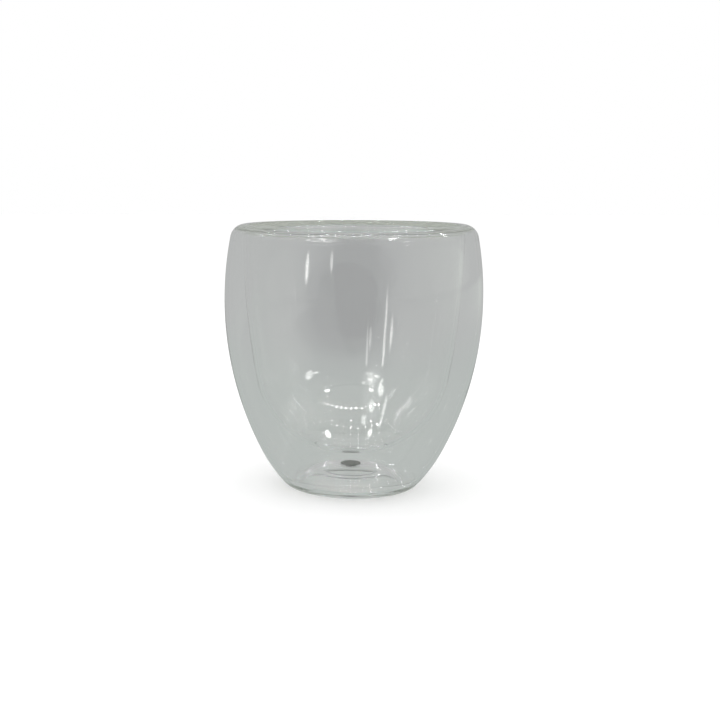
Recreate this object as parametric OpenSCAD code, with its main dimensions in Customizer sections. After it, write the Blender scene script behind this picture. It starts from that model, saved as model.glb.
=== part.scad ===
// Double walled glass cup. An inner bowl hangs inside a wider outer glass, and the two are melted
// together along the lip. The bottom of the outer glass is pushed up into a low dome, which leaves
// a ring to stand on. Every glass wall is a revolved profile of arcs that run into each other
// smoothly, and its two faces share their arc centres, so the wall keeps its thickness all round.
//
// Lengths are in millimetres. The origin is the middle of the standing ring on the table, +Z up.

/* [Outer glass] */

// Height of the cup from the table to the top of the lip
cup_h = 87.4; // [80:0.2:100]

// Radius of the outer glass at its widest
belly_r = 42.5; // [38:0.1:47]

// Height of the widest place above the table
belly_h = 62.6; // [56:0.2:68]

// Radius of the standing ring at its outer edge, where the foot's corner meets the table
foot_r = 19.3; // [17:0.1:22]

// Radius of the foot's corner
heel_r = 4.8; // [4:0.1:5.6]

// Share of the turn from belly to foot that the long curve makes before the tighter one starts
flank_turn_share = 0.622; // [0.58:0.002:0.66]

// Share of the same turn that is made where the foot's corner starts
heel_turn_share = 0.955; // [0.93:0.001:0.98]

// Thickness of the outer glass
shell_wall = 1.3; // [0.9:0.05:1.6]

/* [Lip] */

// How far the inner bowl's outside lies outside the very top of the lip
mouth_out = 0.5; // [0.2:0.05:0.8]

// How far the very top of the lip lies inside the widest place
lip_inset = 6.8; // [5.8:0.1:8]

// Radius of the rounded shoulder outside the top of the lip
shoulder_r = 4.9; // [4.2:0.1:5.4]

// Depth of solid glass from the top of the lip down to the air gap
lip_depth = 2; // [1.6:0.1:2.6]

// Radius of the outer corner at the top of the air gap
gap_corner_r = 1.4; // [1.1:0.1:1.7]

// Radius of the inner corner at the top of the air gap
gap_fillet_r = 0.5; // [0.3:0.1:0.8]

/* [Inner bowl] */

// Height of the bowl's lowest point above the table
bowl_h = 11.8; // [10.6:0.1:14]

// Radius of the long curve down the bowl's side
bowl_side_r = 250; // [200:1:320]

// Radius of the shallow curve across the bowl's bottom
bowl_floor_r = 50; // [42:0.5:70]

// Turn of the shallow curve, in degrees, where it gives way to the bend up to the bowl's side
bowl_floor_turn = 8; // [5.6:0.2:12]

// Thickness of the inner glass
bowl_wall = 1.3; // [0.9:0.05:1.6]

/* [Base] */

// Thickness of the glass in the base
base_wall = 1.8; // [1.4:0.1:2.2]

// Height of the joint between the base and the outer glass
base_joint_h = 5.2; // [4.8:0.1:6]

// Width of the flat ring that stands on the table
land_w = 1.4; // [0.8:0.1:2]

// How far the middle of the base is pushed up above the table
punt_h = 5.5; // [4.5:0.1:6]

// Radius of the shallow curve across the middle of the pushed-up base
punt_top_r = 45; // [42:0.5:60]

// Radius of the bend round the pushed-up middle
punt_bend_r = 9; // [8:0.1:10]

// Radius of the inner corner of the standing ring
foot_fillet_r = 3; // [2.6:0.1:3.4]

// Radius of the corner where the air gap meets the base
gap_heel_r = 4.2; // [3.4:0.1:5]

/* [Vent] */

// Radius of the vent hole in the middle of the base
vent_r = 1.2; // [0.9:0.1:1.6]

// Radius of the seal's head inside the air gap
seal_head_r = 3.4; // [2.8:0.1:4]

// Height of the seal's head above the glass round it
seal_head_h = 0.3; // [0.2:0.1:0.8]

// Radius of the seal's rim under the base
seal_foot_r = 1.9; // [1.7:0.1:2.5]

// Thickness of the seal's rim under the base
seal_foot_h = 0.4; // [0.3:0.1:0.7]

/* [Hidden] */

// Facets round a whole turn, and steps along a long curve, a bend, a corner and a small corner
$fn = 60;
long_steps = 7;
bend_steps = 6;
corner_steps = 4;
small_steps = 2;

// Height of the joint between the lip and both glasses, level with the middle of the shoulder
lip_joint_h = cup_h - shoulder_r;

// Turn of one single curve from the widest place to the foot, and the bearings at which
// the long curve gives way to the tighter one and that to the foot's corner
foot_turn = 2 * atan((belly_r - foot_r) / (belly_h - heel_r));
flank_a = -flank_turn_share * foot_turn;
heel_a = -heel_turn_share * foot_turn;

// What a radius of 1 reaches outwards and upwards along the tighter curve and along the long one
flank_reach = [cos(flank_a) - cos(heel_a), sin(flank_a) - sin(heel_a)];
lower_reach = [1 - cos(flank_a), -sin(flank_a)];

// Radii with which both curves together reach from the foot's corner to the widest place
reach = [belly_r - foot_r, belly_h - heel_r] - heel_r * [cos(heel_a), sin(heel_a)];
reach_share = flank_reach[0] * lower_reach[1] - lower_reach[0] * flank_reach[1];
flank_r = (reach[0] * lower_reach[1] - lower_reach[0] * reach[1]) / reach_share;
lower_r = (flank_reach[0] * reach[1] - reach[0] * flank_reach[1]) / reach_share;

// Middles of the outer glass's arcs, each running smoothly into the next
heel_c = [foot_r, heel_r];
lower_c = [belly_r - lower_r, belly_h];
flank_c = lower_c + (lower_r - flank_r) * [cos(flank_a), sin(flank_a)];
crest_r = belly_r - lip_inset;
shoulder_c = [crest_r, lip_joint_h];
shoulder_up = lip_joint_h - belly_h;
upper_r = (pow(lip_inset, 2) + pow(shoulder_up, 2) - pow(shoulder_r, 2)) / (2 * (lip_inset - shoulder_r));
upper_c = [belly_r - upper_r, belly_h];
shoulder_a = bearing(upper_c, shoulder_c);

// Middles of the corners of the air gap, at the lip and at the base
gap_top_h = cup_h - lip_depth;
gap_top_c = [inside_x(shoulder_c, shoulder_r - shell_wall - gap_corner_r, gap_top_h - gap_corner_r),
             gap_top_h - gap_corner_r];
gap_top_a = bearing(shoulder_c, gap_top_c);
gap_heel_c = [inside_x(flank_c, flank_r - shell_wall - gap_heel_r, base_wall + gap_heel_r),
              base_wall + gap_heel_r];

// Middles of the inner bowl's arcs; its outside ends close under the top of the lip
mouth_r = crest_r + mouth_out;
mouth_in_r = mouth_r - bowl_wall;
bowl_side_c = [mouth_r - bowl_side_r, lip_joint_h];
bowl_floor_c = [0, bowl_h + bowl_floor_r];
floor_way = [sin(bowl_floor_turn), -cos(bowl_floor_turn)];

// Radius of the bend that runs smoothly into both the shallow curve and the side
floor_off = bowl_floor_c + bowl_floor_r * floor_way - bowl_side_c;
bowl_bend_r = (pow(bowl_side_r, 2) - floor_off * floor_off) / (2 * (bowl_side_r - floor_off * floor_way));
bowl_bend_c = bowl_floor_c + (bowl_floor_r - bowl_bend_r) * floor_way;

// Middles of the base's arcs
foot_fillet_c = [heel_c[0] - land_w, foot_fillet_r];
punt_top_c = [0, punt_h - punt_top_r];
punt_bend_c = crossing(punt_top_c, punt_top_r - punt_bend_r, foot_fillet_c, punt_bend_r + foot_fillet_r);

// Heights of the two faces of the base at the vent, and of the seal's two curved faces
punt_up_r = punt_top_r + base_wall;
seal_top_h = punt_h + base_wall + seal_head_h;

// Where the seal's head and rim meet the glass
head_a = acos(seal_head_r / punt_up_r);
foot_a = acos(seal_foot_r / punt_top_r);
vent_up_a = acos(vent_r / punt_up_r);
vent_low_a = acos(vent_r / punt_top_r);

// Rounding of the seal's outer edges
seal_edge_share = 0.45;

// Colours
glass = [0.86, 0.91, 0.89, 0.35];
thick_glass = [0.78, 0.87, 0.82, 0.45];
seal_grey = [0.32, 0.33, 0.34];

// Points along an arc about c, from angle a to angle b
function arc(c, r, a, b, steps) =
    [for (i = [0 : steps]) c + r * [cos(a + (b - a) * i / steps), sin(a + (b - a) * i / steps)]];

// Bearing of q as seen from p
function bearing(p, q) = atan2(q[1] - p[1], q[0] - p[0]);

// Radius from the axis at which a point at height h lies at distance d outside c
function inside_x(c, d, h) = c[0] + sqrt(pow(d, 2) - pow(h - c[1], 2));

// The crossing of two circles that lies to the left of the way from p to q
function crossing(p, pr, q, qr) =
    let (d = norm(q - p), u = (q - p) / d, along = (pr * pr - qr * qr + d * d) / (2 * d))
    p + along * u + sqrt(pr * pr - along * along) * [-u[1], u[0]];

// Bearing at which an arc about c with radius r is at height h
function level(c, r, h) = asin((h - c[1]) / r);

// The list of points in the other order
function turned(points) = [for (i = [len(points) - 1 : -1 : 0]) points[i]];

// One face of the outer glass at a depth under its outside, from the base joint up to the lip joint
function shell_face(depth) = concat(
    arc(flank_c, flank_r - depth, level(flank_c, flank_r - depth, base_joint_h), flank_a, small_steps),
    arc(lower_c, lower_r - depth, flank_a, 0, long_steps),
    arc(upper_c, upper_r - depth, 0, level(upper_c, upper_r - depth, lip_joint_h), small_steps)
);

// One face of the inner bowl at a depth inside its outside, from the axis up to the lip joint
function bowl_face(depth) = concat(
    arc(bowl_floor_c, bowl_floor_r - depth, -90, bowl_floor_turn - 90, small_steps),
    arc(bowl_bend_c, bowl_bend_r - depth, bowl_floor_turn - 90, bearing(bowl_side_c, bowl_bend_c),
        bend_steps),
    arc(bowl_side_c, bowl_side_r - depth, bearing(bowl_side_c, bowl_bend_c), 0, corner_steps)
);

// The underside of the pushed-up middle, or its upper face at a depth of one wall,
// from the standing ring in towards the vent
function punt_face(depth) = concat(
    arc(foot_fillet_c, foot_fillet_r - depth, -90, bearing(punt_bend_c, foot_fillet_c) - 180, corner_steps),
    arc(punt_bend_c, punt_bend_r + depth, bearing(punt_bend_c, foot_fillet_c),
        bearing(punt_top_c, punt_bend_c), corner_steps),
    arc(punt_top_c, punt_top_r + depth, bearing(punt_top_c, punt_bend_c),
        acos(vent_r / (punt_top_r + depth)), small_steps)
);

// The point at the base joint's height, at a depth under the outside
function joint_point(depth) = [inside_x(flank_c, flank_r - depth, base_joint_h), base_joint_h];

// Pushed-up base with its standing ring, up to the joint with the outer glass
module base() {
    color(thick_glass)
        rotate_extrude()
            polygon(concat(
                punt_face(0),
                turned(punt_face(base_wall)),
                arc(gap_heel_c, gap_heel_r, -90, bearing(flank_c, gap_heel_c), corner_steps),
                [joint_point(shell_wall), joint_point(0)],
                turned(arc(heel_c, heel_r, -90, heel_a, corner_steps))
            ));
}

// Outer glass from the base joint to the lip joint
module outer_shell() {
    color(glass)
        rotate_extrude()
            polygon(concat(shell_face(0), turned(shell_face(shell_wall))));
}

// Inner glass, closed at the bottom and open at the lip joint
module inner_bowl() {
    color(glass)
        rotate_extrude()
            polygon(concat(bowl_face(0), turned(bowl_face(bowl_wall))));
}

// Solid lip that joins the two mouths, with the top of the air gap under it
module rim() {
    edge_r = crest_r - mouth_in_r;
    fillet_c = [mouth_r + gap_fillet_r, gap_top_h - gap_fillet_r];
    in_a = level(upper_c, upper_r - shell_wall, lip_joint_h);
    out_a = level(upper_c, upper_r, lip_joint_h);
    color(thick_glass)
        rotate_extrude()
            polygon(concat(
                [[mouth_in_r, lip_joint_h], [mouth_r, lip_joint_h]],
                turned(arc(fillet_c, gap_fillet_r, 90, 180, small_steps)),
                turned(arc(gap_top_c, gap_corner_r, gap_top_a, 90, corner_steps)),
                turned(arc(shoulder_c, shoulder_r - shell_wall, shoulder_a, gap_top_a, small_steps)),
                [upper_c + (upper_r - shell_wall) * [cos(in_a), sin(in_a)]],
                [upper_c + upper_r * [cos(out_a), sin(out_a)]],
                arc(shoulder_c, shoulder_r, shoulder_a, 90, bend_steps),
                arc([crest_r, cup_h - edge_r], edge_r, 90, 180, corner_steps)
            ));
}

// Seal in the vent hole, with a domed head inside the air gap and a thin rim under the base
module vent_plug() {
    head_edge = seal_head_h * seal_edge_share;
    foot_edge = seal_foot_h * seal_edge_share;
    head_h = punt_top_c[1] + punt_up_r * sin(head_a);
    foot_h = punt_top_c[1] + punt_top_r * sin(foot_a);
    low_h = punt_h - seal_foot_h;
    color(seal_grey)
        rotate_extrude()
            polygon(concat(
                [[0, low_h], [seal_foot_r - foot_edge, low_h], [seal_foot_r, low_h + foot_edge]],
                arc(punt_top_c, punt_top_r, foot_a, vent_low_a, small_steps),
                arc(punt_top_c, punt_up_r, vent_up_a, head_a, small_steps),
                [[seal_head_r, head_h + head_edge], [seal_head_r - head_edge, seal_top_h - head_edge / 2]],
                [[seal_head_r / 2, seal_top_h], [0, seal_top_h]]
            ));
}

base();
outer_shell();
inner_bowl();
rim();
vent_plug();
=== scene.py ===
"""Looks of the double walled glass cup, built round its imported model.

Every glass piece is a profile of smoothly joined arcs carried once round the cup's axis. Where two
pieces are melted together, each keeps its own level joint face, which lets light through unbent,
so that the glass looks like one body while its pieces stay closed and separate.

Lengths are in metres. The cup stands on z = 0, with its axis along +Z.
"""

import logging
import math
from dataclasses import dataclass, field
from enum import Enum

import bpy
import numpy as np
from mathutils import Matrix, Vector


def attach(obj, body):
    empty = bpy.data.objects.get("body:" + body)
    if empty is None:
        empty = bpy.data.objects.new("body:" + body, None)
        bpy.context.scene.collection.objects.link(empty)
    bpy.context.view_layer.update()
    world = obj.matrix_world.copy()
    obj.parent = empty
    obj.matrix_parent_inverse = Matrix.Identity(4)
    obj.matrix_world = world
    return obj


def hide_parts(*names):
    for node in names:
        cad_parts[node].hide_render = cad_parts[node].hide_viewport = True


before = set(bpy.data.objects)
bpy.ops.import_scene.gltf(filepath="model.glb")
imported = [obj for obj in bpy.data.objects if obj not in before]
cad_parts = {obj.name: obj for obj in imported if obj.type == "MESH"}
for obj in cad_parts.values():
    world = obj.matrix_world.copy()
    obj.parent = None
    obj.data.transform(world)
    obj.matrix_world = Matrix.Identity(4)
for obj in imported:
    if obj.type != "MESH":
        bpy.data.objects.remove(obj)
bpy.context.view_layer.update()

LOG = logging.getLogger("glass_cup")

MM = 0.001
BODY = "root"
JOINT_MARK = "melted_joint"
BOUNCES = 40

# Mesh fineness: steps round the axis, fewest steps of an arc and of a straight line, widest turn of
# one step and sharpest edge that is still shaded smooth in degrees, and length of the last short
# step at a joint as a share of its neighbour.
AROUND = 256
FEWEST_STEPS = 4
STRAIGHT_STEPS = 3
WIDEST_TURN = 4.5
SMOOTH_EDGE = 32.0
END_SHARE = 0.02

# What counts as touching the axis or a joint's height, and the gap between two melted faces.
AXIS_TOUCH = 1e-7
SEAM_HAIR = 2e-6

# How much further than its bulge a patch of the surround reaches in and out.
PATCH_DEPTH = 0.3

Point = tuple[float, float]
Place = tuple[float, float, float]
Colour = tuple[float, float, float]
Curve = np.ndarray
Nodes = bpy.types.Nodes
Links = bpy.types.NodeLinks
Socket = bpy.types.NodeSocket

WHITE: Colour = (1.0, 1.0, 1.0)


class Face(Enum):
    """What a strip of a piece's surface is: open glass, or the melted joint to the next piece."""

    OPEN = 0
    JOINT = 1


class Step(float, Enum):
    """How far apart the points of an arc may lie: the tighter the curve, the finer."""

    WALL = 0.9 * MM
    BOWL = 0.7 * MM
    SEAT = 0.35 * MM
    FINE = 0.3 * MM
    GAP_HEEL = 0.25 * MM
    HEEL = 0.2 * MM
    LIP = 0.12 * MM
    CREST = 0.06 * MM


# Profile arithmetic


def arc(centre: Point, radius: float, start: float, end: float, step: Step = Step.SEAT) -> Curve:
    """Works out points along a circular arc.

    A point at bearing t is the centre plus the radius times (cos t, sin t), with t running evenly
    from start to end.

    Args:
        centre: Middle of the arc, as distance from the axis and height.
        radius: Radius of the arc.
        start: Bearing of the first point, in degrees.
        end: Bearing of the last point, in degrees.
        step: Longest distance between two points.

    Returns:
        The points, one (distance, height) row each.
    """
    sweep = math.radians(abs(end - start))
    count = max(
        FEWEST_STEPS,
        math.ceil(radius * sweep / step),
        math.ceil(sweep / math.radians(WIDEST_TURN)),
    )
    t = np.radians(np.linspace(start, end, count + 1))
    return np.stack([centre[0] + radius * np.cos(t), centre[1] + radius * np.sin(t)], 1)


def bearing(start: Point, end: Point) -> float:
    """Gives the bearing of end as seen from start, in degrees."""
    return math.degrees(math.atan2(end[1] - start[1], end[0] - start[0]))


def level(centre: Point, radius: float, height: float) -> float:
    """Gives the bearing at which an arc about centre reaches a height, in degrees."""
    return math.degrees(math.asin((height - centre[1]) / radius))


def outward(centre: Point, distance: float, height: float) -> float:
    """Gives how far from the axis a point lies that is at a height and a distance from centre."""
    return centre[0] + math.sqrt(distance**2 - (height - centre[1]) ** 2)


def crossing(first: Point, first_radius: float, second: Point, second_radius: float) -> Point:
    """Finds where two circles cross, on the left of the way from the first to the second.

    The crossing lies along the line of centres by (r1^2 - r2^2 + d^2) / 2d, and off it by what is
    left of the first radius.

    Args:
        first: Middle of the first circle.
        first_radius: Its radius.
        second: Middle of the second circle.
        second_radius: Its radius.

    Returns:
        The crossing point.
    """
    gap = np.subtract(second, first)
    d = float(np.hypot(*gap))
    u = gap / d
    along = (first_radius**2 - second_radius**2 + d**2) / (2 * d)
    off = math.sqrt(first_radius**2 - along**2)
    return (
        float(first[0] + along * u[0] - off * u[1]),
        float(first[1] + along * u[1] + off * u[0]),
    )


def straight(start: Point, end: Point, count: int = STRAIGHT_STEPS) -> Curve:
    """Gives evenly spaced points on the straight line from start to end."""
    return np.linspace(start, end, count + 1)


def fine_end(curve: Curve, at_start: bool) -> Curve:
    """Adds a point very near one end, so that the surface's direction is exact at a joint.

    The new point lies a fiftieth of the way along the end's own first step.

    Args:
        curve: Points of the curve.
        at_start: True for the curve's first end, False for its last.

    Returns:
        The curve with one point more.
    """
    if at_start:
        near = curve[0] + END_SHARE * (curve[1] - curve[0])
        return np.vstack([curve[:1], near, curve[1:]])
    near = curve[-1] + END_SHARE * (curve[-2] - curve[-1])
    return np.vstack([curve[:-1], near, curve[-1:]])


def loop(parts: list[tuple[Curve, Face]]) -> tuple[Curve, np.ndarray]:
    """Joins curves end to end into one closed outline.

    Each curve's last point is dropped, because the next one starts there. The outline is left
    open where both its ends lie on the axis.

    Args:
        parts: Curves in order, each with what its strip of the surface is.

    Returns:
        The outline's points, and for the strip that starts at each point its Face value.
    """
    points = np.vstack([curve[:-1] for curve, _ in parts])
    kinds = np.concatenate([np.full(len(curve) - 1, kind.value) for curve, kind in parts])
    return points, kinds


def apart(points: Curve, height: float, by: float) -> Curve:
    """Moves an outline's joint face a hair away from the next piece's.

    Light then meets the two faces one after the other, and never both in the same place.

    Args:
        points: The outline.
        height: Height of the joint.
        by: How far its points move up.

    Returns:
        The outline with its joint moved.
    """
    on_joint = np.isclose(points[:, 1], height, rtol=0.0, atol=AXIS_TOUCH)
    return points + np.outer(on_joint, (0.0, by))


def turned_mesh(name: str, points: Curve, kinds: np.ndarray, closed: bool) -> bpy.types.Object:
    """Makes a solid by carrying an outline once round the Z axis.

    The surface is a function of two parameters, the place s along the outline and the angle a
    round the axis: (r(s) cos a, r(s) sin a, z(s)). A point on the axis becomes one pole.

    Args:
        name: Name of the new piece.
        points: The outline, as distance from the axis and height, running anticlockwise.
        kinds: The Face value of the strip that starts at each point.
        closed: True if the last point joins the first, False if both lie on the axis.

    Returns:
        The new object, linked to the scene.
    """
    on_axis = points[:, 0] < AXIS_TOUCH
    turns = 2 * np.pi * np.arange(AROUND) / AROUND
    sizes = np.where(on_axis, 1, AROUND)
    starts = np.concatenate([[0], np.cumsum(sizes)[:-1]])
    ring = np.arange(len(points)).repeat(sizes)
    turn = np.concatenate([np.arange(n) for n in sizes])
    r, z, a = points[ring, 0], points[ring, 1], turns[turn]
    verts = np.stack([r * np.cos(a), r * np.sin(a), z], 1)

    here = np.arange(AROUND)
    after = (here + 1) % AROUND
    quads, tris, quad_kinds, tri_kinds = [], [], [], []
    last = len(points) if closed else len(points) - 1
    for i in range(last):
        j = (i + 1) % len(points)
        if on_axis[i] and on_axis[j]:
            continue
        low, high = starts[i], starts[j]
        if on_axis[i]:
            tris.append(np.stack([np.full(AROUND, low), high + after, high + here], 1))
            tri_kinds.append(np.full(AROUND, kinds[i]))
        elif on_axis[j]:
            tris.append(np.stack([low + here, low + after, np.full(AROUND, high)], 1))
            tri_kinds.append(np.full(AROUND, kinds[i]))
        else:
            quads.append(np.stack([low + here, low + after, high + after, high + here], 1))
            quad_kinds.append(np.full(AROUND, kinds[i]))
    faces = [row for block in (*quads, *tris) for row in block.tolist()]
    marks = np.concatenate([*quad_kinds, *tri_kinds]).astype(np.float32)

    mesh = bpy.data.meshes.new(name)
    mesh.from_pydata(verts.tolist(), [], faces)
    mesh.attributes.new(JOINT_MARK, "FLOAT", "FACE").data.foreach_set("value", marks)
    mesh.polygons.foreach_set("use_smooth", np.ones(len(faces), bool))
    mesh.update()
    mesh.set_sharp_from_angle(angle=math.radians(SMOOTH_EDGE))
    piece = bpy.data.objects.new(name, mesh)
    bpy.context.scene.collection.objects.link(piece)
    return piece


# Finishes


def opaque(colour: Colour) -> tuple[float, float, float, float]:
    """Gives a colour as the four numbers that a node takes."""
    return (*colour, 1.0)


@dataclass(frozen=True)
class BlownGlass:
    """Clear borosilicate glass, with the slow waviness of blown glass and a green cast in depth.

    The joint faces inside melted glass let light pass unbent. Where light crosses a marked joint
    steeply, a pale olive diffuse sheet on it is painted light: it stands in for light that runs down
    the length of a wall and comes back with the olive of thick glass.
    """

    name: str
    # Slant range over which a joint turns into the painted-light sheet; None keeps the joint clear.
    guided_light_slant: Point | None = None
    ior: float = 1.47
    wave_size: float = 26.0
    wave_height: float = 0.06 * MM
    ripple_size: float = 95.0
    ripple_height: float = 0.006 * MM
    wave_detail: float = 1.0
    depth_colour: Colour = (0.58, 0.68, 0.46)
    depth_density: float = 3.0
    shade_pass: Colour = (0.982, 0.986, 0.982)
    # Painted light: colour of the diffuse sheet that stands in for light guided along a wall.
    painted_guided_light: Colour = (0.54, 0.57, 0.52)

    def build(self) -> bpy.types.Material:
        """Makes the material: a refracting surface over a faintly absorbing inside.

        Each face lets most light through on its way to what the cup shades, as thin glass does.

        Returns:
            The material.
        """
        material = bpy.data.materials.new(self.name)
        material.use_nodes = True
        nodes, links = material.node_tree.nodes, material.node_tree.links
        shader = nodes["Principled BSDF"]
        shader.inputs["Base Color"].default_value = opaque(WHITE)
        shader.inputs["Roughness"].default_value = 0.0
        shader.inputs["IOR"].default_value = self.ior
        shader.inputs["Transmission Weight"].default_value = 1.0
        links.new(self.waves(nodes, links), shader.inputs["Normal"])

        mark = nodes.new("ShaderNodeAttribute")
        mark.attribute_name = JOINT_MARK
        melted = nodes.new("ShaderNodeMixShader")
        links.new(mark.outputs["Fac"], melted.inputs["Fac"])
        links.new(shader.outputs["BSDF"], melted.inputs[1])
        links.new(self.seam(nodes, links), melted.inputs[2])

        path = nodes.new("ShaderNodeLightPath")
        shade = nodes.new("ShaderNodeBsdfTransparent")
        shade.inputs["Color"].default_value = opaque(self.shade_pass)
        mix = nodes.new("ShaderNodeMixShader")
        links.new(path.outputs["Is Shadow Ray"], mix.inputs["Fac"])
        links.new(melted.outputs["Shader"], mix.inputs[1])
        links.new(shade.outputs["BSDF"], mix.inputs[2])
        links.new(mix.outputs["Shader"], nodes["Material Output"].inputs["Surface"])

        depth = nodes.new("ShaderNodeVolumeAbsorption")
        depth.inputs["Color"].default_value = opaque(self.depth_colour)
        depth.inputs["Density"].default_value = self.depth_density
        links.new(depth.outputs["Volume"], nodes["Material Output"].inputs["Volume"])
        return material

    def waves(self, nodes: Nodes, links: Links) -> Socket:
        """Adds the blown glass's unevenness: a slow wave with a fine ripple laid over it.

        Args:
            nodes: Nodes of the material.
            links: Its links.

        Returns:
            The surface's direction.
        """
        place = nodes.new("ShaderNodeTexCoord")
        direction = None
        wave, ripple = (self.wave_size, self.wave_height), (self.ripple_size, self.ripple_height)
        for size, height in (wave, ripple):
            noise = nodes.new("ShaderNodeTexNoise")
            noise.inputs["Scale"].default_value = size
            noise.inputs["Detail"].default_value = self.wave_detail
            bump = nodes.new("ShaderNodeBump")
            bump.inputs["Distance"].default_value = height
            links.new(place.outputs["Object"], noise.inputs["Vector"])
            links.new(noise.outputs["Fac"], bump.inputs["Height"])
            if direction is not None:
                links.new(direction, bump.inputs["Normal"])
            direction = bump.outputs["Normal"]
        return direction

    def seam(self, nodes: Nodes, links: Links) -> Socket:
        """Adds the joint faces' shader: clear, or a painted-light diffuse sheet where light crosses
        steeply.

        Args:
            nodes: Nodes of the material.
            links: Its links.

        Returns:
            The shader.
        """
        clear = nodes.new("ShaderNodeBsdfTransparent")
        if self.guided_light_slant is None:
            return clear.outputs["BSDF"]
        # Painted light: a pale olive diffuse sheet that stands in for light guided along the wall.
        painted_guided_light = nodes.new("ShaderNodeBsdfDiffuse")
        painted_guided_light.inputs["Color"].default_value = opaque(self.painted_guided_light)
        slant = nodes.new("ShaderNodeLayerWeight")
        fade = nodes.new("ShaderNodeMapRange")
        fade.inputs["From Min"].default_value, fade.inputs["From Max"].default_value = self.guided_light_slant
        mix = nodes.new("ShaderNodeMixShader")
        links.new(slant.outputs["Facing"], fade.inputs["Value"])
        links.new(fade.outputs["Result"], mix.inputs["Fac"])
        links.new(painted_guided_light.outputs["BSDF"], mix.inputs[1])
        links.new(clear.outputs["BSDF"], mix.inputs[2])
        return mix.outputs["Shader"]


@dataclass(frozen=True)
class SealRubber:
    """Smooth dark grey silicone, slightly uneven in shade and gloss."""

    name: str = "seal_rubber"
    light: Colour = (0.20, 0.21, 0.19)
    dark: Colour = (0.10, 0.105, 0.095)
    ior: float = 1.43
    gloss: Point = (0.38, 0.55)
    grain_size: float = 900.0
    grain_detail: float = 3.0
    grain_height: float = 0.02 * MM

    def build(self) -> bpy.types.Material:
        """Makes the material: a soft rubber surface with a fine grain.

        Returns:
            The material.
        """
        material = bpy.data.materials.new(self.name)
        material.use_nodes = True
        nodes, links = material.node_tree.nodes, material.node_tree.links
        shader = nodes["Principled BSDF"]
        shader.inputs["IOR"].default_value = self.ior
        place = nodes.new("ShaderNodeTexCoord")
        grain = nodes.new("ShaderNodeTexNoise")
        grain.inputs["Scale"].default_value = self.grain_size
        grain.inputs["Detail"].default_value = self.grain_detail
        tone = nodes.new("ShaderNodeValToRGB")
        tone.color_ramp.elements[0].color = opaque(self.dark)
        tone.color_ramp.elements[1].color = opaque(self.light)
        gloss = nodes.new("ShaderNodeMapRange")
        gloss.inputs["To Min"].default_value, gloss.inputs["To Max"].default_value = self.gloss
        bump = nodes.new("ShaderNodeBump")
        bump.inputs["Distance"].default_value = self.grain_height
        links.new(place.outputs["Object"], grain.inputs["Vector"])
        links.new(grain.outputs["Fac"], tone.inputs["Fac"])
        links.new(grain.outputs["Fac"], gloss.inputs["Value"])
        links.new(grain.outputs["Fac"], bump.inputs["Height"])
        links.new(tone.outputs["Color"], shader.inputs["Base Color"])
        links.new(gloss.outputs["Result"], shader.inputs["Roughness"])
        links.new(bump.outputs["Normal"], shader.inputs["Normal"])
        return material


# The cup's pieces


@dataclass
class CupForm:
    """Sizes that the pieces share, and the middles of the arcs that follow from them."""

    cup_h: float = 87.4 * MM
    belly_r: float = 42.5 * MM
    belly_h: float = 62.6 * MM
    foot_r: float = 19.3 * MM
    heel_r: float = 4.8 * MM
    flank_turn_share: float = 0.622
    heel_turn_share: float = 0.955
    shell_wall: float = 1.3 * MM
    lip_inset: float = 6.8 * MM
    mouth_out: float = 0.5 * MM
    shoulder_r: float = 4.9 * MM
    base_joint_h: float = 5.2 * MM
    bowl_wall: float = 1.3 * MM
    base_wall: float = 1.8 * MM
    punt_h: float = 5.5 * MM
    punt_top_r: float = 45.0 * MM
    vent_r: float = 1.2 * MM
    crest_r: float = field(init=False)
    mouth_r: float = field(init=False)
    lip_joint_h: float = field(init=False)
    shoulder_c: Point = field(init=False)
    upper_r: float = field(init=False)
    upper_c: Point = field(init=False)
    lower_r: float = field(init=False)
    lower_c: Point = field(init=False)
    flank_a: float = field(init=False)
    flank_r: float = field(init=False)
    flank_c: Point = field(init=False)
    heel_a: float = field(init=False)
    heel_c: Point = field(init=False)
    shoulder_a: float = field(init=False)

    def __post_init__(self) -> None:
        """Works out the outer glass's arcs, each running smoothly into the next.

        The two curves between belly and foot make fixed shares of the whole turn. Their radii are
        the ones with which they reach exactly from the foot's corner to the widest place.
        """
        self.crest_r = self.belly_r - self.lip_inset
        self.mouth_r = self.crest_r + self.mouth_out
        self.lip_joint_h = self.cup_h - self.shoulder_r
        self.shoulder_c = (self.crest_r, self.lip_joint_h)
        up = self.lip_joint_h - self.belly_h
        slack = 2 * (self.lip_inset - self.shoulder_r)
        self.upper_r = (self.lip_inset**2 + up**2 - self.shoulder_r**2) / slack
        self.upper_c = (self.belly_r - self.upper_r, self.belly_h)
        self.shoulder_a = bearing(self.upper_c, self.shoulder_c)

        turn = 2 * math.atan2(self.belly_r - self.foot_r, self.belly_h - self.heel_r)
        flank, heel = -self.flank_turn_share * turn, -self.heel_turn_share * turn
        steps = np.array([
            [math.cos(flank) - math.cos(heel), 1 - math.cos(flank)],
            [math.sin(flank) - math.sin(heel), -math.sin(flank)],
        ])
        way = (
            self.belly_r - self.foot_r - self.heel_r * math.cos(heel),
            self.belly_h - self.heel_r - self.heel_r * math.sin(heel),
        )
        self.flank_r, self.lower_r = (float(r) for r in np.linalg.solve(steps, way))
        self.flank_a, self.heel_a = math.degrees(flank), math.degrees(heel)
        self.lower_c = (self.belly_r - self.lower_r, self.belly_h)
        reach = self.lower_r - self.flank_r
        self.flank_c = (
            self.lower_c[0] + reach * math.cos(flank),
            self.lower_c[1] + reach * math.sin(flank),
        )
        self.heel_c = (self.foot_r, self.heel_r)


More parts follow.
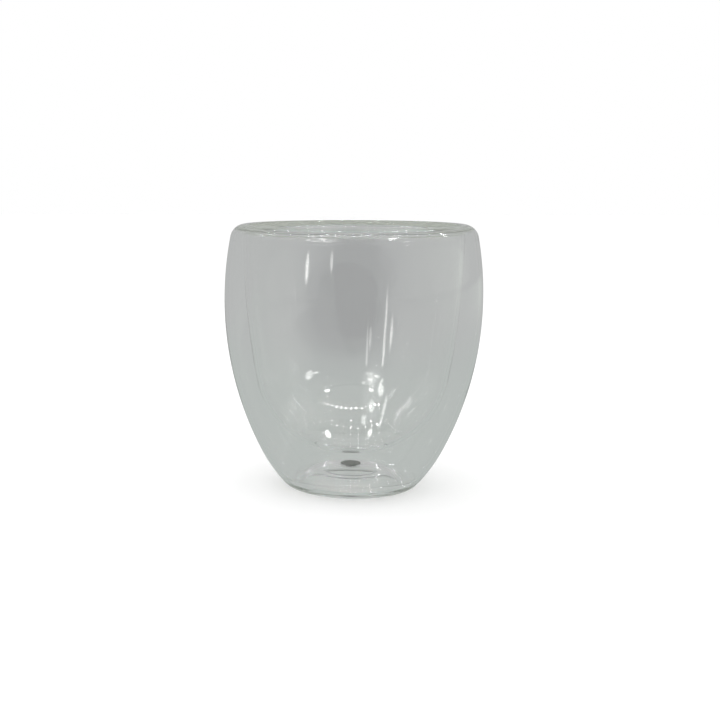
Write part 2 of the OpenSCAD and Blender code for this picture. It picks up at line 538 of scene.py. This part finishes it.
@dataclass
class CupPiece:
    """One piece of the cup: how it is finished and where it belongs."""

    form: CupForm

    def dress(
        self, piece: bpy.types.Object, node: str, slot: str, finish: bpy.types.Material
    ) -> bpy.types.Object:
        """Gives a piece its finish and its place in the frame.

        Args:
            piece: The piece's object.
            node: The CAD node that it stands for.
            slot: The record's material slot; not used.
            finish: Its material.

        Returns:
            The same object.
        """
        piece.data.materials.append(finish)
        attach(piece, BODY)
        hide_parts(node)
        return piece


@dataclass
class OuterShell(CupPiece):
    """The blown outer glass, from the base's joint up to the lip's."""

    def side(self, depth: float) -> Curve:
        """Works out one face of the wall, from the foot up.

        Args:
            depth: How deep the face lies under the wall's outside.

        Returns:
            The face's profile.
        """
        f = self.form
        foot = level(f.flank_c, f.flank_r - depth, f.base_joint_h)
        top = level(f.upper_c, f.upper_r - depth, f.lip_joint_h)
        curve = np.vstack([
            arc(f.flank_c, f.flank_r - depth, foot, f.flank_a, Step.WALL)[:-1],
            arc(f.lower_c, f.lower_r - depth, f.flank_a, 0, Step.WALL)[:-1],
            arc(f.upper_c, f.upper_r - depth, 0, top, Step.WALL),
        ])
        return fine_end(fine_end(curve, True), False)

    def build(self) -> bpy.types.Object:
        """Makes the piece as a wall between two faces that share their arc middles.

        Returns:
            The piece's object.
        """
        outside, inside = self.side(0), self.side(self.form.shell_wall)[::-1]
        parts = [
            (outside, Face.OPEN),
            (straight(outside[-1], inside[0]), Face.JOINT),
            (inside, Face.OPEN),
            (straight(inside[-1], outside[0]), Face.JOINT),
        ]
        return turned_mesh("outer_glass", *loop(parts), closed=True)


@dataclass
class InnerBowl(CupPiece):
    """The blown inner glass, closed below and open at the lip's joint."""

    bowl_h: float = 11.8 * MM
    side_r: float = 250.0 * MM
    floor_r: float = 50.0 * MM
    floor_turn: float = 8.0

    def side(self, depth: float) -> Curve:
        """Works out one face of the wall, from the axis up.

        The bend's radius b is the one for which it touches the side's circle from within. With p
        the place where the bend starts, seen from the side's middle, and w the way to it from the
        floor's middle, |p - b w| = side_r - b, so b = (side_r^2 - p.p) / 2(side_r - p.w).

        Args:
            depth: How deep the face lies under the wall's outside.

        Returns:
            The face's profile.
        """
        side_c = (self.form.mouth_r - self.side_r, self.form.lip_joint_h)
        floor_c = (0.0, self.bowl_h + self.floor_r)
        turn = math.radians(self.floor_turn)
        way = np.array([math.sin(turn), -math.cos(turn)])
        p = floor_c + self.floor_r * way - side_c
        bend_r = float((self.side_r**2 - p @ p) / (2 * (self.side_r - p @ way)))
        bend_c = tuple(floor_c + (self.floor_r - bend_r) * way)
        first, second = self.floor_turn - 90, bearing(side_c, bend_c)
        curve = np.vstack([
            arc(floor_c, self.floor_r - depth, -90, first, Step.BOWL)[:-1],
            arc(bend_c, bend_r - depth, first, second, Step.BOWL)[:-1],
            arc(side_c, self.side_r - depth, second, 0, Step.WALL),
        ])
        curve[0, 0] = 0.0
        return fine_end(curve, False)

    def build(self) -> bpy.types.Object:
        """Makes the piece as a wall between two faces that share their arc middles.

        Returns:
            The piece's object.
        """
        outside, inside = self.side(0), self.side(self.form.bowl_wall)[::-1]
        parts = [
            (outside, Face.OPEN),
            (straight(outside[-1], inside[0]), Face.JOINT),
        ]
        points, kinds = loop(parts)
        points = np.vstack([points, inside])
        kinds = np.concatenate([kinds, np.full(len(inside), Face.OPEN.value)])
        return turned_mesh("inner_glass", points, kinds, closed=False)


@dataclass
class Lip(CupPiece):
    """The solid lip where both mouths are melted together, over the top of the air gap."""

    depth: float = 2.0 * MM
    gap_corner_r: float = 1.4 * MM
    gap_fillet_r: float = 0.5 * MM
    mouth_rows: int = 8

    def build(self) -> bpy.types.Object:
        """Makes the piece: shoulder, crest and inner edge outside, the gap's corners inside.

        Returns:
            The piece's object.
        """
        f = self.form
        gap_top = f.cup_h - self.depth
        inner_r = f.mouth_r - f.bowl_wall
        edge_r = f.crest_r - inner_r
        corner_h = gap_top - self.gap_corner_r
        wall_r = f.shoulder_r - f.shell_wall
        corner_c = (outward(f.shoulder_c, wall_r - self.gap_corner_r, corner_h), corner_h)
        corner_a = bearing(f.shoulder_c, corner_c)
        fillet_c = (f.mouth_r + self.gap_fillet_r, gap_top - self.gap_fillet_r)
        thin = f.upper_r - f.shell_wall
        low_in = level(f.upper_c, thin, f.lip_joint_h)
        low_out = level(f.upper_c, f.upper_r, f.lip_joint_h)
        gap = np.vstack([
            straight((f.mouth_r, f.lip_joint_h), (f.mouth_r, fillet_c[1]))[:-1],
            arc(fillet_c, self.gap_fillet_r, 180, 90, Step.LIP)[:-1],
            straight((fillet_c[0], gap_top), (corner_c[0], gap_top))[:-1],
            arc(corner_c, self.gap_corner_r, 90, corner_a, Step.LIP)[:-1],
            arc(f.shoulder_c, wall_r, corner_a, f.shoulder_a, Step.LIP)[:-1],
            arc(f.upper_c, thin, f.shoulder_a, low_in, Step.FINE),
        ])
        outside = np.vstack([
            arc(f.upper_c, f.upper_r, low_out, f.shoulder_a, Step.FINE)[:-1],
            arc(f.shoulder_c, f.shoulder_r, f.shoulder_a, 90, Step.LIP)[:-1],
            arc((f.crest_r, f.cup_h - edge_r), edge_r, 90, 180, Step.CREST)[:-1],
            straight((inner_r, f.cup_h - edge_r), (inner_r, f.lip_joint_h), self.mouth_rows),
        ])
        gap = fine_end(fine_end(gap, True), False)
        outside = fine_end(fine_end(outside, True), False)
        parts = [
            (outside, Face.OPEN),
            (straight(outside[-1], gap[0]), Face.JOINT),
            (gap, Face.OPEN),
            (straight(gap[-1], outside[0]), Face.JOINT),
        ]
        points, kinds = loop(parts)
        return turned_mesh("lip", apart(points, f.lip_joint_h, SEAM_HAIR), kinds, closed=True)


@dataclass
class Base(CupPiece):
    """The pushed-up base with its standing ring and vent hole."""

    land_w: float = 1.4 * MM
    land_rows: int = 4
    punt_bend_r: float = 9.0 * MM
    fillet_r: float = 3.0 * MM
    gap_heel_r: float = 4.2 * MM

    def punt(self, depth: float) -> Curve:
        """Works out one face of the pushed-up middle, from the standing ring in.

        Args:
            depth: How far the face lies over the underside.

        Returns:
            The face's profile.
        """
        f = self.form
        fillet_c = (f.foot_r - self.land_w, self.fillet_r)
        top_c = (0.0, f.punt_h - f.punt_top_r)
        bend_c = crossing(
            top_c, f.punt_top_r - self.punt_bend_r, fillet_c, self.punt_bend_r + self.fillet_r
        )
        turn, crown = bearing(bend_c, fillet_c), bearing(top_c, bend_c)
        hole = math.degrees(math.acos(f.vent_r / (f.punt_top_r + depth)))
        return np.vstack([
            arc(fillet_c, self.fillet_r - depth, -90, turn - 180, Step.FINE)[:-1],
            arc(bend_c, self.punt_bend_r + depth, turn, crown, Step.FINE)[:-1],
            arc(top_c, f.punt_top_r + depth, crown, hole, Step.FINE),
        ])

    def build(self) -> bpy.types.Object:
        """Makes the piece: underside, vent hole, floor of the air gap, joint and outer heel.

        Returns:
            The piece's object.
        """
        f = self.form
        under, over = self.punt(0), self.punt(f.base_wall)[::-1]
        gap_h = f.base_wall + self.gap_heel_r
        thin = f.flank_r - f.shell_wall
        gap_c = (outward(f.flank_c, thin - self.gap_heel_r, gap_h), gap_h)
        gap_a = bearing(f.flank_c, gap_c)
        floor = np.vstack([
            over[:-1],
            straight(over[-1], (gap_c[0], f.base_wall))[:-1],
            arc(gap_c, self.gap_heel_r, -90, gap_a, Step.GAP_HEEL)[:-1],
            arc(f.flank_c, thin, gap_a, level(f.flank_c, thin, f.base_joint_h), Step.FINE),
        ])
        top = level(f.flank_c, f.flank_r, f.base_joint_h)
        heel = np.vstack([
            arc(f.flank_c, f.flank_r, top, f.heel_a, Step.FINE)[:-1],
            arc(f.heel_c, f.heel_r, f.heel_a, -90, Step.HEEL)[:-1],
            straight((f.foot_r, 0.0), tuple(under[0]), self.land_rows),
        ])
        outline = [
            (under, Face.OPEN),
            (straight(under[-1], over[0]), Face.OPEN),
            (fine_end(floor, False), Face.OPEN),
            (straight(floor[-1], heel[0]), Face.JOINT),
            (fine_end(heel, True), Face.OPEN),
        ]
        points, kinds = loop(outline)
        points = apart(points, f.base_joint_h, -SEAM_HAIR)
        return turned_mesh("base_glass", points[::-1], np.roll(kinds[::-1], -1), closed=True)


@dataclass
class VentSeal(CupPiece):
    """The seal in the vent hole: a stem, a flat head in the gap and a thin rim underneath."""

    head_r: float = 3.4 * MM
    head_h: float = 0.3 * MM
    head_roundness: float = 0.8
    foot_r: float = 1.9 * MM
    foot_h: float = 0.4 * MM
    foot_edge_share: float = 0.7
    edge_points: int = 13

    def build(self) -> bpy.types.Object:
        """Makes the piece: its edges are near quarter ellipses, and its seats follow the glass.

        With t from 0 to 90 degrees, the foot's edge widens with the sine of t while its depth
        shrinks with the cosine. The head narrows with the cosine while it rises with the sine to
        the power of its roundness.

        Returns:
            The piece's object.
        """
        f = self.form
        top_c = (0.0, f.punt_h - f.punt_top_r)
        up_r = f.punt_top_r + f.base_wall
        low = f.punt_h - self.foot_h
        top = f.punt_h + f.base_wall + self.head_h
        seat = arc(
            top_c,
            f.punt_top_r,
            math.degrees(math.acos(self.foot_r / f.punt_top_r)),
            math.degrees(math.acos(f.vent_r / f.punt_top_r)),
        )
        head_seat = arc(
            top_c,
            up_r,
            math.degrees(math.acos(f.vent_r / up_r)),
            math.degrees(math.acos(self.head_r / up_r)),
        )
        t = np.linspace(0, np.pi / 2, self.edge_points)
        foot_tall = seat[0, 1] - low
        foot_wide = foot_tall * self.foot_edge_share
        foot_edge = np.stack(
            [self.foot_r - foot_wide * (1 - np.sin(t)), seat[0, 1] - foot_tall * np.cos(t)], 1
        )
        head_tall = top - head_seat[-1, 1]
        rise = head_tall * np.sin(t) ** self.head_roundness
        head_dome = np.stack([self.head_r * np.cos(t), head_seat[-1, 1] + rise], 1)
        head_dome[-1, 0] = 0.0
        start = np.array([[0.0, low]])
        points = np.vstack([start, foot_edge[:-1], seat, head_seat, head_dome[1:]])
        kinds = np.full(len(points), Face.OPEN.value)
        return turned_mesh("vent_seal", points, kinds, closed=False)


# The studio


@dataclass(frozen=True)
class Patch:
    """A soft-edged patch of another colour in what the glass sees of the studio."""

    middle: Place
    half: Place
    colour: Colour
    softness: float = 0.5
    turn: Place = (0.0, 0.0, 0.0)

    @classmethod
    def towards(
        cls,
        azimuth: float,
        elevation: float,
        half: Point,
        colour: Colour,
        softness: float = 0.5,
    ) -> "Patch":
        """Makes a patch of the surround.

        Args:
            azimuth: Degrees from straight behind the camera towards the right.
            elevation: Degrees above the horizon.
            half: Half the patch's width and half its height, in degrees.
            colour: Its colour, where 1 is white.
            softness: Share of its size over which it fades out.

        Returns:
            The patch, as an ellipsoid that cuts the sphere of directions.
        """
        a, e = math.radians(azimuth), math.radians(elevation)
        wide, tall = (math.sin(math.radians(h)) for h in half)
        deep = 1.0 - math.cos(math.radians(max(half))) + PATCH_DEPTH
        middle = (math.cos(e) * math.sin(a), -math.cos(e) * math.cos(a), math.sin(e))
        return cls(middle, (wide, deep, tall), colour, softness, (-elevation, 0.0, azimuth))


@dataclass(frozen=True)
class LightStrip:
    """A row of small lights across the ceiling, measured in heights of the ceiling.

    The row lies back from the cup's axis, reaches half its length to each side, and bends back
    with the square of the way to the side.
    """

    back: float
    half: float
    bend: float = 0.0


@dataclass
class Studio:
    """Floor, surround, lamps and camera, as in the photograph."""

    camera_back: float = 390.0 * MM
    camera_up: float = 102.37 * MM
    aim_up: float = 44.0 * MM
    clip: Point = (0.01, 20.0)
    side_px: float = 100.0
    focal_px: float = 1177.0
    image_px: float = 720.0
    sensor: float = 36.0
    middle_px: Point = (352.0, 354.6)
    bare_grey: Colour = (0.467875, 0.4769, 0.475)
    floor_half: float = 3.0
    floor_drop: float = 0.1 * MM
    floor_roughness: float = 0.9
    lamp_place: Place = (-0.2, -0.2, 1.1)
    lamp_aim_up: float = 0.05
    lamp_side: float = 0.9
    lamp_watts: float = 3.0

    # Ceiling, wall on the right, dim wall behind the camera, dark place high at the back, and
    # the darkest place, straight behind the camera.
    wall_patches: tuple[Patch, ...] = (
        Patch.towards(0, 62, (80, 32), (0.68, 0.68, 0.66)),
        Patch.towards(96, 4, (36, 34), (0.62, 0.64, 0.62)),
        Patch.towards(0, 8, (78, 34), (0.26, 0.26, 0.28), 0.3),
        Patch.towards(180, 56, (42, 30), (0.03, 0.03, 0.03), 0.6),
        Patch.towards(-4, 1, (29, 11.5), (0.0, 0.0, 0.01), 0.12),
    )

    # Two upright strips low on the left, a cluster above them, then a lamp and a level strip on
    # the right.
    lamp_patches: tuple[Patch, ...] = (
        Patch.towards(-41, 8.5, (1.9, 7), (7.0, 7.0, 6.8), 0.6),
        Patch.towards(-19, 11.5, (1.8, 5), (4.0, 4.0, 3.9), 0.7),
        Patch.towards(-28, 30, (15, 14), (1.5, 1.5, 1.5), 0.6),
        Patch.towards(-24, 25, (6, 3), (4.5, 4.5, 4.4)),
        Patch.towards(-20, 38, (4.5, 2.4), (6.0, 6.0, 5.9)),
        Patch.towards(-28, 33, (4.5, 2.4), (7.0, 7.0, 6.9)),
        Patch.towards(-37, 27, (4.5, 2.4), (9.0, 9.0, 8.8)),
        Patch.towards(-46, 33, (2.2, 7), (7.0, 7.0, 6.8)),
        Patch.towards(-35, 45, (4, 4.5), (15.0, 15.0, 14.6)),
        Patch.towards(44, 45, (4, 4), (26.0, 26.0, 26.0), 0.3),
        Patch.towards(51, 21, (6, 1.6), (8.0, 8.0, 7.9)),
    )

    # What the glass shows of the floor: its tone near the cup, then what it only mirrors.
    floor_tones: tuple[Patch, ...] = (
        Patch((0.0, -0.2, 0.0), (2.2, 0.6, 1.0), (0.469, 0.501, 0.484)),
    )
    floor_patches: tuple[Patch, ...] = (
        Patch((0.85, 0.4, 0.0), (0.75, 1.0, 1.0), (0.56, 0.585, 0.565)),
        Patch((0.0, -1.65, 0.0), (2.4, 1.6, 1.0), (0.27, 0.27, 0.28), 0.4),
        Patch((-0.05, -0.7, 0.0), (0.42, 0.58, 1.0), (0.0, 0.0, 0.01), 0.12),
        Patch((-0.12, -2.0, 0.0), (1.12, 1.4, 1.0), (0.0, 0.0, 0.01), 0.2),
    )

    # Strips of small lights on the ceiling. A light's width is a share of their spacing, and the
    # ceiling ends where a direction rises too little.
    strips: tuple[LightStrip, ...] = (
        LightStrip(-0.19, 0.6),
        LightStrip(0.24, 0.62, 2.0),
        LightStrip(0.55, 1.6),
    )
    dot_spacing: float = 0.09
    dot_share: float = 0.26
    dot_colour: Colour = (80.0, 82.0, 84.0)
    least_rise: float = 0.05

    def camera(self) -> bpy.types.Object:
        """Places the camera at the photograph's distance, height and lens.

        The cup stands a little to the side of the lens's middle, which leans its upright lines.

        Returns:
            The camera's object.
        """
        data = bpy.data.cameras.new("camera")
        data.sensor_width = self.sensor
        data.lens = self.focal_px / self.image_px * self.sensor
        data.clip_start, data.clip_end = self.clip
        camera = bpy.data.objects.new("camera", data)
        bpy.context.scene.collection.objects.link(camera)
        place = Vector((0.0, -self.camera_back, self.camera_up))
        aim = Vector((0.0, 0.0, self.aim_up))
        look = (aim - place).to_track_quat("-Z", "Y").to_matrix().to_4x4()
        aside = Matrix.Rotation(math.atan2(self.side_px, self.focal_px), 4, "Z")
        camera.matrix_world = Matrix.Translation(place) @ aside @ look
        seen = camera.matrix_world.inverted() @ aim
        across, up = (self.focal_px * side / -seen.z for side in (seen.x, seen.y))
        data.shift_x = (self.image_px / 2 + across - self.middle_px[0]) / self.image_px
        data.shift_y = (self.middle_px[1] + up - self.image_px / 2) / self.image_px
        bpy.context.scene.camera = camera
        return camera

    def floor(self) -> bpy.types.Object:
        """Makes the plain white floor, which the glass sees as the photograph's pale grey.

        From below it is clear, so that the cup's underside can be looked at.

        Returns:
            The floor's object.
        """
        half = self.floor_half
        mesh = bpy.data.meshes.new("floor")
        corners = [(-half, -half), (half, -half), (half, half), (-half, half)]
        mesh.from_pydata([(x, y, -self.floor_drop) for x, y in corners], [], [(0, 1, 2, 3)])
        floor = bpy.data.objects.new("floor", mesh)
        bpy.context.scene.collection.objects.link(floor)
        material = bpy.data.materials.new("floor")
        material.use_nodes = True
        nodes, links = material.node_tree.nodes, material.node_tree.links
        shader = nodes["Principled BSDF"]
        shader.inputs["Base Color"].default_value = opaque(WHITE)
        shader.inputs["Roughness"].default_value = self.floor_roughness
        shader.inputs["Specular IOR Level"].default_value = 0.0
        grey = nodes.new("ShaderNodeEmission")
        mix = nodes.new("ShaderNodeMixShader")
        place = nodes.new("ShaderNodeTexCoord").outputs["Object"]
        plain = self.patched(nodes, links, place, self.plain(nodes), self.floor_tones)
        mirrored = self.patched(nodes, links, place, plain, self.floor_patches)
        links.new(self.where_mirrored(nodes, links, plain, mirrored), grey.inputs["Color"])
        links.new(self.seen_by_glass(nodes, links), mix.inputs["Fac"])
        links.new(shader.outputs["BSDF"], mix.inputs[1])
        links.new(grey.outputs["Emission"], mix.inputs[2])
        clear = nodes.new("ShaderNodeBsdfTransparent")
        sides = nodes.new("ShaderNodeMixShader")
        links.new(nodes.new("ShaderNodeNewGeometry").outputs["Backfacing"], sides.inputs["Fac"])
        links.new(mix.outputs["Shader"], sides.inputs[1])
        links.new(clear.outputs["BSDF"], sides.inputs[2])
        links.new(sides.outputs["Shader"], nodes["Material Output"].inputs["Surface"])
        mesh.materials.append(material)
        return floor

    @staticmethod
    def seen_by_glass(nodes: Nodes, links: Links) -> Socket:
        """Gives 1 for what the camera sees through glass or mirrored in it, otherwise 0.

        Light that reaches the floor through the glass counts as 0, so the floor's shadow stays soft.

        Args:
            nodes: Nodes of the material or world.
            links: Its links.

        Returns:
            The number.
        """
        path = nodes.new("ShaderNodeLightPath")
        either = nodes.new("ShaderNodeMath")
        either.operation = "MAXIMUM"
        direct = nodes.new("ShaderNodeMath")
        direct.operation = "SUBTRACT"
        direct.use_clamp = True
        links.new(path.outputs["Is Transmission Ray"], either.inputs[0])
        links.new(path.outputs["Is Glossy Ray"], either.inputs[1])
        links.new(either.outputs[0], direct.inputs[0])
        links.new(path.outputs["Diffuse Depth"], direct.inputs[1])
        return direct.outputs[0]

    def plain(self, nodes: Nodes) -> Socket:
        """Adds the pale grey that the glass shows where the studio is bare.

        Args:
            nodes: Nodes of the material or world.

        Returns:
            The colour.
        """
        bare = nodes.new("ShaderNodeRGB")
        bare.outputs[0].default_value = opaque(self.bare_grey)
        return bare.outputs[0]

    @staticmethod
    def where_mirrored(nodes: Nodes, links: Links, plain: Socket, mirrored: Socket) -> Socket:
        """Gives light that some face has mirrored one colour, and all other light another.

        The studio's lamps and dark places then show as reflections on the glass from every side,
        and never as shapes that are looked at through it.

        Args:
            nodes: Nodes of the material or world.
            links: Its links.
            plain: Colour of what is looked at through the glass.
            mirrored: Colour of what the glass mirrors.

        Returns:
            The colour.
        """
        path = nodes.new("ShaderNodeLightPath")
        mix = nodes.new("ShaderNodeMix")
        mix.data_type = "RGBA"
        links.new(path.outputs["Glossy Depth"], mix.inputs["Factor"])
        links.new(plain, mix.inputs["A"])
        links.new(mirrored, mix.inputs["B"])
        return mix.outputs["Result"]

    @staticmethod
    def patched(
        nodes: Nodes, links: Links, place: Socket, colour: Socket, patches: tuple[Patch, ...]
    ) -> Socket:
        """Lays soft patches of other colours over the colour of the studio.

        A patch is an ellipsoid in the space of the given coordinates, full in the middle and
        fading out towards its edge.

        Args:
            nodes: Nodes of the material or world.
            links: Its links.
            place: Coordinates to lay the patches out in.
            colour: The colour under the patches.
            patches: The patches, from the bottom one up.

        Returns:
            The colour.
        """
        for patch in patches:
            mapping = nodes.new("ShaderNodeMapping")
            mapping.vector_type = "TEXTURE"
            mapping.inputs["Location"].default_value = patch.middle
            mapping.inputs["Rotation"].default_value = tuple(math.radians(t) for t in patch.turn)
            mapping.inputs["Scale"].default_value = patch.half
            length = nodes.new("ShaderNodeVectorMath")
            length.operation = "LENGTH"
            fade = nodes.new("ShaderNodeMapRange")
            fade.interpolation_type = "SMOOTHSTEP"
            fade.inputs["From Min"].default_value = 1.0
            fade.inputs["From Max"].default_value = 1.0 - patch.softness
            mix = nodes.new("ShaderNodeMix")
            mix.data_type = "RGBA"
            links.new(place, mapping.inputs["Vector"])
            links.new(mapping.outputs["Vector"], length.inputs[0])
            links.new(length.outputs["Value"], fade.inputs["Value"])
            links.new(fade.outputs["Result"], mix.inputs["Factor"])
            links.new(colour, mix.inputs["A"])
            mix.inputs["B"].default_value = opaque(patch.colour)
            colour = mix.outputs["Result"]
        return colour

    def light_dots(self, nodes: Nodes, links: Links, place: Socket, colour: Socket) -> Socket:
        """Adds strips of small lights that cross the studio's ceiling from left to right.

        A direction (x, y, z) meets a ceiling one unit up at u = x / z and v = y / z. A strip shines
        where v is near back + bend u^2 and u is near a whole number of dot spacings, out to half
        the strip's length.

        Args:
            nodes: Nodes of the world.
            links: Its links.
            place: The direction looked in.
            colour: Colour of the studio without the lights.

        Returns:
            The colour with the lights.
        """

        def maths(operation: str, *values: Socket | float) -> Socket:
            """Adds one calculation.

            Args:
                operation: What it does.
                values: The numbers or sockets that it takes.

            Returns:
                Its result.
            """
            node = nodes.new("ShaderNodeMath")
            node.operation = operation
            for i, value in enumerate(values):
                if isinstance(value, Socket):
                    links.new(value, node.inputs[i])
                else:
                    node.inputs[i].default_value = value
            return node.outputs[0]

        split = nodes.new("ShaderNodeSeparateXYZ")
        links.new(place, split.inputs[0])
        up = maths("MAXIMUM", split.outputs["Z"], self.least_rise)
        u = maths("DIVIDE", split.outputs["X"], up)
        v = maths("DIVIDE", split.outputs["Y"], up)
        off_dot = maths("PINGPONG", maths("DIVIDE", u, self.dot_spacing), 0.5)
        on_dot = maths("LESS_THAN", off_dot, self.dot_share / 2)
        for strip in self.strips:
            along = maths("MULTIPLY", on_dot, maths("LESS_THAN", maths("ABSOLUTE", u), strip.half))
            bent = maths("MULTIPLY", maths("MULTIPLY", u, u), strip.bend)
            off_row = maths("ABSOLUTE", maths("SUBTRACT", maths("SUBTRACT", v, bent), strip.back))
            across = maths("LESS_THAN", off_row, self.dot_spacing * self.dot_share / 2)
            mix = nodes.new("ShaderNodeMix")
            mix.data_type = "RGBA"
            links.new(maths("MULTIPLY", along, across), mix.inputs["Factor"])
            links.new(colour, mix.inputs["A"])
            mix.inputs["B"].default_value = opaque(self.dot_colour)
            colour = mix.outputs["Result"]
        return colour

    def surround(self) -> None:
        """Makes the world: white behind the cup, and the grey studio that its glass still shows."""
        world = bpy.data.worlds.new("studio")
        bpy.context.scene.world = world
        world.use_nodes = True
        nodes, links = world.node_tree.nodes, world.node_tree.links
        nodes.clear()
        out = nodes.new("ShaderNodeOutputWorld")
        white = nodes.new("ShaderNodeBackground")
        white.inputs["Color"].default_value = opaque(WHITE)
        grey = nodes.new("ShaderNodeBackground")
        place = nodes.new("ShaderNodeTexCoord").outputs["Generated"]
        plain = self.plain(nodes)
        patches = (*self.wall_patches, *self.lamp_patches)
        walls = self.patched(nodes, links, place, plain, patches)
        lit = self.light_dots(nodes, links, place, walls)
        links.new(self.where_mirrored(nodes, links, plain, lit), grey.inputs["Color"])
        mix = nodes.new("ShaderNodeMixShader")
        links.new(self.seen_by_glass(nodes, links), mix.inputs["Fac"])
        links.new(white.outputs[0], mix.inputs[1])
        links.new(grey.outputs[0], mix.inputs[2])
        links.new(mix.outputs[0], out.inputs["Surface"])

    def overhead(self) -> bpy.types.Object:
        """Hangs the soft box that gives the floor its faint shadow, and that no glass mirrors.

        Returns:
            The lamp's object.
        """
        data = bpy.data.lights.new("overhead", "AREA")
        data.shape = "RECTANGLE"
        data.size = data.size_y = self.lamp_side
        data.energy = self.lamp_watts
        lamp = bpy.data.objects.new("overhead", data)
        bpy.context.scene.collection.objects.link(lamp)
        place = Vector(self.lamp_place)
        aim = Vector((0.0, 0.0, self.lamp_aim_up)) - place
        turn = aim.to_track_quat("-Z", "Y").to_matrix().to_4x4()
        lamp.matrix_world = Matrix.Translation(place) @ turn
        lamp.visible_glossy = lamp.visible_transmission = False
        return lamp


def main() -> None:
    """Builds the cup and its studio, piece by piece."""
    logging.basicConfig(level=logging.INFO, format="%(message)s")
    bpy.context.scene.view_settings.view_transform = "Standard"
    cycles = bpy.context.scene.cycles
    cycles.max_bounces = cycles.transmission_bounces = BOUNCES
    cycles.glossy_bounces = cycles.transparent_max_bounces = BOUNCES
    cycles.sample_clamp_indirect = 0.0
    studio = Studio()
    studio.camera()
    studio.floor()
    studio.surround()
    studio.overhead()

    form = CupForm()
    wall_glass = BlownGlass("wall_glass").build()
    # The lip's and base's joints carry painted light where light crosses them steeply.
    lip_glass = BlownGlass("lip_glass", guided_light_slant=(0.45, 0.65)).build()
    base_glass = BlownGlass("base_glass", guided_light_slant=(0.18, 0.32)).build()
    rubber = SealRubber().build()
    for maker, node, slot, finish in (
        (Base(form), "base", "base_glass", base_glass),
        (OuterShell(form), "outer_shell", "outer_glass", wall_glass),
        (InnerBowl(form), "inner_bowl", "inner_glass", wall_glass),
        (Lip(form), "rim", "lip_glass", lip_glass),
        (VentSeal(form), "vent_plug", "seal", rubber),
    ):
        piece = maker.dress(maker.build(), node, slot, finish)
        LOG.info("%s: %d faces", piece.name, len(piece.data.polygons))


if __name__ == "__main__":
    main()
